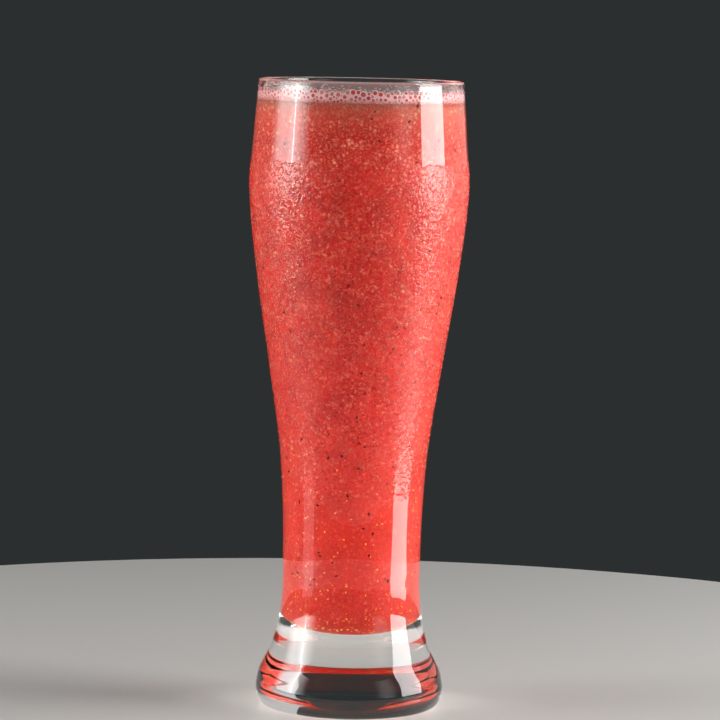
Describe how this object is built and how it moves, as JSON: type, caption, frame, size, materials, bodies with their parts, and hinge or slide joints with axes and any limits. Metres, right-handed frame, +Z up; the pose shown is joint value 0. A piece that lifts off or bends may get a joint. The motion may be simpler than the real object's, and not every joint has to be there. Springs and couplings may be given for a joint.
{
  "type": "glass of strawberry juice",
  "caption": "Tall curved glass with a thick clear base, filled nearly to the rim with red strawberry juice under a thin layer of pink bubbly foam.",
  "frame": {"origin": "middle of the glass's resting face, on the glass's axis", "axes": "+Z up along the glass's axis, +Y away from the side that the picture shows"},
  "size_m": [0.0772, 0.0772, 0.222],
  "materials": {
    "clear_glass": "clear pressed glass, fire-polished, its outside covered in fine condensation",
    "strawberry_juice": "cloudy wet red juice with pulp, seeds and small bubbles",
    "juice_foam": "pink bubbly foam of the juice"
  },
  "bodies": {
    "root": {"glass": "clear_glass", "juice": "strawberry_juice", "foam": "juice_foam"}
  },
  "joints": []
}
